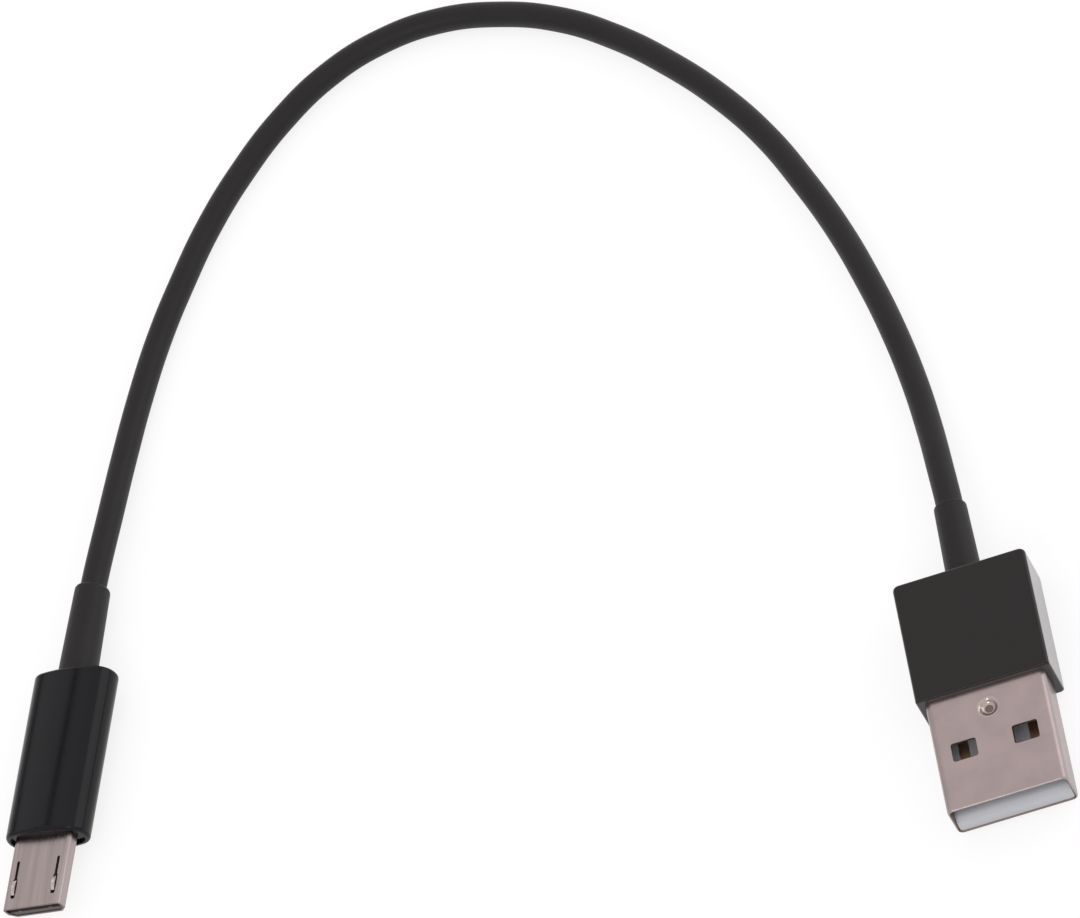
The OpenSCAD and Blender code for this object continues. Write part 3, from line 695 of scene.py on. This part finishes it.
@dataclass
class MicroPlug:
    """The small plug's slotted shell, crowned housing and strain relief.

    Its sizes are in millimetres, and y runs along the plug from the housing's front.
    """

    seat: Seat = Seat((-95.6, 9.6, 2.5517), heading_deg=MICRO_HEADING_DEG, roll_deg=-11.0)
    shell_w: float = 6.85
    shell_h: float = 1.8
    shell_low_w: float = 5.4
    slant_h: float = 0.65
    bend_r: float = 0.4
    low_bend: float = 0.12
    bend_steps: int = 5
    sheet: float = 0.25
    rim: float = 0.03
    nose: float = -7.7
    shell_in: float = 5.0
    # A slot's front end, its step behind the hook and its back end, as distances from the nose
    slot_x: float = 2.4
    slot_nose: float = 1.15
    hook_end: float = 3.25
    slot_end: float = 5.25
    slot_w: float = 0.5
    slit_w: float = 0.3
    # How far the corners of its front, its step and its back are rounded
    slot_front_r: float = 0.2
    slot_step_r: float = 0.05
    slit_end_r: float = 0.1
    slot_steps: int = 3
    housing_w: float = 9.4
    housing_h: float = 4.6
    housing_l: float = 18.3
    crown_r: float = 16.0
    edge_r: float = 0.35
    edge_steps: int = 5
    lip_w: float = 0.5
    lip_depth: float = 0.3
    wall: float = 0.6
    room_end: float = 16.3
    crown_steps: int = 14
    side_steps: int = 22
    seat_gap: float = 0.02

    def pillow(self, inset: float, y: float) -> Outline:
        """Draws the housing's crowned section, drawn in by a wall.

        Args:
            inset: The wall.
            y: Where it lies along the plug.

        Returns:
            The section's points.
        """
        width, height = self.housing_w - 2 * inset, self.housing_h - 2 * inset
        crown = self.crown_r - inset
        # A side's radius, at which it meets both crowns without a kink
        side = (crown * height - height ** 2 / 4 - width ** 2 / 4) / (2 * crown - width)
        side_x = width / 2 - side
        turn = math.atan2(side_x, crown - height / 2)
        drop = height / 2 - crown
        shape = bmesh.new()
        last = shape.verts.new((-crown * math.sin(turn), y, drop + crown * math.cos(turn)))
        for centre, angle, steps in (
                ((0, y, drop), 2 * turn, self.crown_steps),
                ((side_x, y, 0), math.pi - 2 * turn, self.side_steps),
                ((0, y, -drop), 2 * turn, self.crown_steps),
                ((-side_x, y, 0), math.pi - 2 * turn, self.side_steps)):
            swept = bmesh.ops.spin(shape, geom=[last], cent=centre, axis=(0, 1, 0), angle=angle,
                                   steps=steps, use_duplicate=False)["geom_last"]
            last = next(part for part in swept if isinstance(part, bmesh.types.BMVert))
        points = [vert.co.copy() for vert in shape.verts]
        shape.free()
        return points[:-1]

    def section(self, inset: float) -> Outline:
        """Draws the shell's outline, drawn in by a wall.

        Args:
            inset: The wall, negative for a clearance outside.

        Returns:
            The outline's points.
        """
        slope = math.atan2(self.slant_h, (self.shell_w - self.shell_low_w) / 2)
        side, top = self.shell_w / 2 - inset, self.shell_h / 2 - inset
        low = self.shell_low_w / 2 - inset * math.tan(slope / 2)
        slant = self.slant_h - self.shell_h / 2 + inset * math.tan(math.pi / 4 - slope / 2)
        corners = [(-low, 0, -top), (low, 0, -top), (side, 0, slant), (side, 0, top),
                   (-side, 0, top), (-side, 0, slant)]
        bend = self.bend_r - inset
        radii = [self.low_bend, self.low_bend, self.low_bend, bend, bend, self.low_bend]
        return rounded(corners, radii, self.bend_steps)

    def slot(self, x: float) -> Outline:
        """Draws one latch slot, wide round the hook and narrow behind it.

        Args:
            x: Where its middle lies across the plug.

        Returns:
            The slot's outline on the shell's top.
        """
        wide, thin, top = self.slot_w / 2, self.slit_w / 2, self.shell_h / 2
        front, step, back = (self.nose + y for y in (self.slot_nose, self.hook_end, self.slot_end))
        corners = [(x - wide, front, top), (x + wide, front, top), (x + wide, step, top),
                   (x + thin, step, top), (x + thin, back, top), (x - thin, back, top),
                   (x - thin, step, top), (x - wide, step, top)]
        ends, steps = [self.slit_end_r] * 2, [self.slot_step_r] * 2
        radii = [self.slot_front_r] * 2 + steps + ends + steps
        return rounded(corners, radii, self.slot_steps)

    def shell(self, wardrobe: Wardrobe) -> None:
        """Builds the drawn shell with its two slots.

        Args:
            wardrobe: Where its finish comes from.
        """
        blank = Blank()
        blank.loft([at(self.section(0.0), self.nose), at(self.section(0.0), self.shell_in)])
        slots = [self.slot(side * self.slot_x) for side in (-1, 1)]
        blank.sheet(blank.open_flat(self.shell_h / 2), *slots)
        # Its inner side, cut edges and slot walls take the uncoated steel colour as painted shade
        made = blank.piece("small_plug_shell", self.seat, self.sheet, self.rim, bare_and_shade=1)
        wardrobe.wear(made, MICRO_NICKEL, BARE_STEEL_AND_SHADE)
        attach(made, BODY)
        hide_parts("micro_b_shell")

    def housing(self, wardrobe: Wardrobe, relief: Relief) -> None:
        """Builds the crowned housing with a lip round its front.

        Args:
            wardrobe: Where its finish comes from.
            relief: The strain relief that it holds.
        """
        rows = []
        for k in range(self.edge_steps + 1):
            turn = math.pi / 2 * k / self.edge_steps
            rows.append((self.edge_r * (1 - math.sin(turn)), self.edge_r * (1 - math.cos(turn))))
        rows += [(inset, self.housing_l - y) for inset, y in reversed(rows)]
        skin = [self.pillow(inset, y) for inset, y in rows]
        gap = self.seat_gap
        hole = self.section(-gap)
        room = upright(relief.collar_w + 2 * gap, relief.collar_h + 2 * gap, relief.collar_r + gap)
        neck = disc(relief.neck_d / 2 + gap)
        wall_y = self.housing_l - relief.back_wall
        blank = Blank()
        blank.loft(skin)
        blank.sheet(skin[0], self.pillow(self.lip_w, 0.0))
        blank.loft([self.pillow(self.lip_w, 0.0), self.pillow(self.lip_w, self.lip_depth)])
        blank.sheet(self.pillow(self.lip_w, self.lip_depth), at(hole, self.lip_depth))
        blank.loft([at(hole, self.lip_depth), at(hole, self.shell_in)])
        blank.sheet(self.pillow(self.wall, self.shell_in), at(hole, self.shell_in))
        blank.loft([self.pillow(self.wall, self.shell_in), self.pillow(self.wall, self.room_end)])
        blank.sheet(self.pillow(self.wall, self.room_end), at(room, self.room_end))
        blank.loft([at(room, self.room_end), at(room, wall_y)])
        blank.sheet(at(room, wall_y), at(neck, wall_y))
        blank.loft([at(neck, wall_y), at(neck, self.housing_l)])
        blank.sheet(skin[-1], at(neck, self.housing_l))
        made = blank.piece("small_plug_housing", self.seat)
        wardrobe.wear(made, GLOSS_BLACK)
        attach(made, BODY)
        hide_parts("micro_b_housing")

    def build(self, wardrobe: Wardrobe) -> None:
        """Builds the three pieces.

        Args:
            wardrobe: Where their finishes come from.
        """
        relief = Relief("small_plug_relief", "micro_b_strain_relief", self.seat, self.housing_l,
                        length=10.1, base_d=4.0, tip_d=3.65, collar_h=3.36)
        self.shell(wardrobe)
        self.housing(wardrobe, relief)
        relief.build(wardrobe)


@dataclass
class Cord:
    """The round cord, from one strain relief to the other along its CAD route.

    Its diameter and length are in metres, and the points of its route in millimetres.
    """

    diameter: float = 2.7 * MM
    length: float = 173.2 * MM
    round_steps: int = 7
    bend_steps: int = 10
    cores: tuple[str, ...] = ("core_red", "core_white", "core_green", "core_black")
    # Where the cord leaves each strain relief, and how far it goes on inside
    start_mm: Point = (0.0, 15.35, 2.95)
    inside_a_mm: Point = (0.0, 11.0, 2.95)
    end_mm: Point = (-87.629, 36.858, 2.552)
    inside_b_mm: Point = (-88.864, 32.635, 2.552)
    route_mm: tuple[Point, ...] = (
        (-0.2, 20, 2.6), (-0.6, 26, 1.8), (-1.2, 32, 1.4), (-2.2, 38.5, 1.4), (-3.6, 45, 1.4),
        (-5.5, 52, 1.4), (-8, 59, 1.4), (-11, 66, 1.4), (-14.8, 72.5, 1.4), (-19.3, 78.5, 1.4),
        (-24.4, 84, 1.4), (-30, 88.5, 1.4), (-36, 91.5, 1.4), (-42.5, 93.2, 1.4), (-49, 93, 1.4),
        (-55.2, 91, 1.4), (-61, 87.2, 1.4), (-66, 82.4, 1.4), (-70.4, 77, 1.4), (-74.2, 71, 1.4),
        (-77.5, 65, 1.4), (-80.4, 58.5, 1.4), (-82.8, 52, 1.6), (-84.8, 45.5, 2.2),
    )

    def build(self, wardrobe: Wardrobe) -> None:
        """Args:
            wardrobe: Where its finish comes from.
        """
        data = bpy.data.curves.new("cord", "CURVE")
        data.dimensions = "3D"
        data.bevel_depth = self.diameter / 2
        data.bevel_resolution = self.round_steps
        data.resolution_u = self.bend_steps
        data.use_fill_caps = True
        points = [self.inside_a_mm, self.start_mm, *self.route_mm, self.end_mm, self.inside_b_mm]
        spline = data.splines.new("BEZIER")
        spline.bezier_points.add(len(points) - 1)
        for knot, point in zip(spline.bezier_points, points):
            knot.co = Vector(point) * MM
            knot.handle_left_type = "AUTO"
            knot.handle_right_type = "AUTO"
        cord = bpy.data.objects.new("cord", data)
        bpy.context.scene.collection.objects.link(cord)
        wardrobe.wear(cord, SOFT_BLACK)
        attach(cord, BODY)
        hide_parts("cord_jacket")


@dataclass
class CarriedNodes:
    """The CAD pieces that show as they are, each with its finish."""

    finishes: dict[str, Finish] = field(default_factory=lambda: {
        "type_a_tongue": WHITE_NYLON,
        "type_a_contact_power": GOLD_FLASH, "type_a_contact_data_minus": GOLD_FLASH,
        "type_a_contact_data_plus": GOLD_FLASH, "type_a_contact_ground": GOLD_FLASH,
        "type_a_solder": SOLDER, "type_a_inner_mould": NATURAL_MOULD,
        "core_red": RED_PVC, "core_white": WHITE_PVC, "core_green": GREEN_PVC,
        "core_black": BLACK_PVC, "micro_b_inner_mould": NATURAL_MOULD,
        "micro_b_insulator": GREY_POLYMER,
        "micro_b_tails": GOLD_FLASH, "micro_b_contact_power": GOLD_FLASH,
        "micro_b_contact_data_minus": GOLD_FLASH, "micro_b_contact_data_plus": GOLD_FLASH,
        "micro_b_contact_id": GOLD_FLASH, "micro_b_contact_ground": GOLD_FLASH,
        # The latch arms' pale colour paints the hooks' highlight
        "micro_b_latch_left": SPRING_STEEL_AND_HIGHLIGHT, "micro_b_latch_right": SPRING_STEEL_AND_HIGHLIGHT,
        "micro_b_solder": SOLDER,
    })

    def dress(self, wardrobe: Wardrobe) -> None:
        """Puts each node's finish on it.

        Args:
            wardrobe: Where the finishes come from.
        """
        for name, finish in self.finishes.items():
            wardrobe.wear(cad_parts[name], finish)


@dataclass
class Studio:
    """Floor, lamps, light tent and the camera at the photograph's angle."""

    azimuth_deg: float = 19.4615
    elevation_deg: float = 53.7425
    roll_deg: float = -33.4279
    distance: float = 0.69999
    target_mm: Point = (-40.167, 37.303, 0.0)
    focal_px: float = 7000.0
    sensor_mm: float = 36.0
    nearest: float = 0.01
    floor_size: float = 6.0
    # The floor paper's colour and glow where it lights the object, is mirrored in it, or is seen
    lighting_paper: tuple[str, float] = ("#f0f0f0", 0.0)
    mirrored_paper: tuple[str, float] = ("#bcbcbc", 0.52)
    seen_paper: tuple[str, float] = ("#8a8a8a", 0.8)
    backdrop: str = "#f6f6f6"
    # The tent's colours by height, where 0 is level and 1 straight up
    tent: tuple[tuple[float, str], ...] = ((0.0, "#cfcacb"), (0.25, "#d9d4d5"), (0.42, "#f1ebeb"))
    # Its dark seams, each with its height and half its width, and how far to the left they start
    seams: tuple[tuple[float, float], ...] = ((0.3, 0.025), (0.7, 0.018))
    seam_colour: str = "#565254"
    seam_left: float = -0.25
    # Each lamp's name, place and side in metres, and power in watts
    lamps: tuple[tuple[str, Point, float, float], ...] = (
        ("front_lamp", (-0.25, -0.75, 0.75), 0.3, 0.9),
        ("side_lamp", (0.7, 0.33, 0.37), 0.7, 0.95),
    )

    def camera(self) -> None:
        """Makes the camera and sets it as the scene's."""
        az, el, roll = (math.radians(v) for v in
                        (self.azimuth_deg, self.elevation_deg, self.roll_deg))
        # The level camera's three axes, and then its two across the view after its roll
        back = Vector((math.sin(az) * math.cos(el), -math.cos(az) * math.cos(el), math.sin(el)))
        right = Vector((math.cos(az), math.sin(az), 0.0))
        up = back.cross(right)
        across = right * math.cos(roll) + up * math.sin(roll)
        upward = up * math.cos(roll) - right * math.sin(roll)
        turn = Matrix((across, upward, back)).transposed().to_4x4()
        place = Matrix.Translation(Vector(self.target_mm) * MM + back * self.distance)
        lens = bpy.data.cameras.new("camera")
        lens.sensor_fit = "HORIZONTAL"
        lens.sensor_width = self.sensor_mm
        lens.lens = self.sensor_mm * self.focal_px / IMAGE_W
        lens.clip_start = self.nearest
        seen = bpy.data.objects.new("camera", lens)
        seen.matrix_world = place @ turn
        bpy.context.scene.collection.objects.link(seen)
        bpy.context.scene.camera = seen

    @staticmethod
    def paper(tree: bpy.types.NodeTree, colour: str, glow: float) -> bpy.types.NodeSocket:
        """Adds a matt paper that also glows a little, so that its shadows stay faint.

        Args:
            tree: The node tree that takes the nodes.
            colour: The paper's colour in the light.
            glow: The brightness that it keeps in the shade.

        Returns:
            The shader's socket.
        """
        matt = add_node(tree, "ShaderNodeBsdfDiffuse", inputs={"Color": linear(colour)})
        lit = add_node(tree, "ShaderNodeEmission", inputs={"Strength": glow})
        return add_node(tree, "ShaderNodeAddShader",
                        inputs={0: matt.outputs[0], 1: lit.outputs[0]}).outputs[0]

    def floor(self) -> None:
        """Makes the pale floor, which keeps the object's soft shadow."""
        shape = bmesh.new()
        bmesh.ops.create_grid(shape, x_segments=1, y_segments=1, size=self.floor_size / 2)
        data = bpy.data.meshes.new("floor")
        shape.to_mesh(data)
        shape.free()
        white = bpy.data.materials.new("white_paper")
        white.use_nodes = True
        tree = white.node_tree
        tree.nodes.clear()
        path = add_node(tree, "ShaderNodeLightPath").outputs
        mirrored = add_node(tree, "ShaderNodeMath", {"operation": "MAXIMUM"},
                            {0: path["Is Glossy Ray"], 1: path["Is Transmission Ray"]}).outputs[0]
        unseen = add_node(tree, "ShaderNodeMixShader", inputs={
            0: mirrored, 1: self.paper(tree, *self.lighting_paper),
            2: self.paper(tree, *self.mirrored_paper)})
        mixed = add_node(tree, "ShaderNodeMixShader", inputs={
            0: path["Is Camera Ray"], 1: unseen.outputs[0],
            2: self.paper(tree, *self.seen_paper)})
        add_node(tree, "ShaderNodeOutputMaterial", inputs={"Surface": mixed.outputs[0]})
        data.materials.append(white)
        ground = bpy.data.objects.new("floor", data)
        bpy.context.scene.collection.objects.link(ground)

    def lamp(self, name: str, place: Point, size: float, watts: float) -> None:
        """Adds one square soft lamp that faces the object.

        Args:
            name: The lamp's name.
            place: Where it stands, in metres.
            size: Its side, in metres.
            watts: Its power.
        """
        light = bpy.data.lights.new(name, "AREA")
        light.size = size
        light.energy = watts
        stand = bpy.data.objects.new(name, light)
        aim = Vector(self.target_mm) * MM - Vector(place)
        turn = aim.to_track_quat("-Z", "Y").to_matrix().to_4x4()
        stand.matrix_world = Matrix.Translation(place) @ turn
        bpy.context.scene.collection.objects.link(stand)

    def world(self) -> None:
        """Fills the room with a light tent: dimmer along its foot, with dark seams at the left."""
        room = bpy.data.worlds.new("room")
        room.use_nodes = True
        tree = room.node_tree
        tree.nodes.clear()
        way = add_node(tree, "ShaderNodeTexCoord").outputs["Generated"]
        parts = add_node(tree, "ShaderNodeSeparateXYZ", inputs={0: way}).outputs
        tent = add_node(tree, "ShaderNodeValToRGB", inputs={0: parts["Z"]})
        stops = tent.color_ramp.elements
        # A third stop, between the two that a new ramp has
        stops.new(0.5)
        for stop, (place, colour) in zip(stops, self.tent):
            stop.color = linear(colour)
            stop.position = place
        left = add_node(tree, "ShaderNodeMath", {"operation": "LESS_THAN"},
                        {0: parts["X"], 1: self.seam_left}).outputs[0]
        sewn = tent.outputs[0]
        for rise, half in self.seams:
            level = add_node(tree, "ShaderNodeMath", {"operation": "COMPARE"},
                             {0: parts["Z"], 1: rise, 2: half}).outputs[0]
            seam = add_node(tree, "ShaderNodeMath", {"operation": "MULTIPLY"},
                            {0: level, 1: left}).outputs[0]
            sewn = add_node(tree, "ShaderNodeMix", {"data_type": "RGBA"}, {
                "Factor": seam, MIX_A: sewn, MIX_B: linear(self.seam_colour),
            }).outputs[MIX_RESULT]
        path = add_node(tree, "ShaderNodeLightPath").outputs
        tint = add_node(tree, "ShaderNodeMix", {"data_type": "RGBA"}, {
            "Factor": path["Is Camera Ray"], MIX_A: sewn, MIX_B: linear(self.backdrop),
        }).outputs[MIX_RESULT]
        glow = add_node(tree, "ShaderNodeBackground", inputs={"Color": tint, "Strength": 1.0})
        add_node(tree, "ShaderNodeOutputWorld", inputs={"Surface": glow.outputs[0]})
        bpy.context.scene.world = room

    def build(self) -> None:
        """Sets the whole stage up."""
        bpy.context.scene.view_settings.view_transform = "Standard"
        self.camera()
        self.floor()
        self.world()
        for lamp in self.lamps:
            self.lamp(*lamp)


def main() -> None:
    """Builds the stage, the cord, the plugs and the finishes, in that order."""
    logging.basicConfig(level=logging.INFO, format="%(name)s: %(message)s")
    wardrobe = Wardrobe()
    Studio().build()
    Cord().build(wardrobe)
    TypeAPlug().build(wardrobe)
    MicroPlug().build(wardrobe)
    CarriedNodes().dress(wardrobe)


if __name__ == "__main__":
    main()
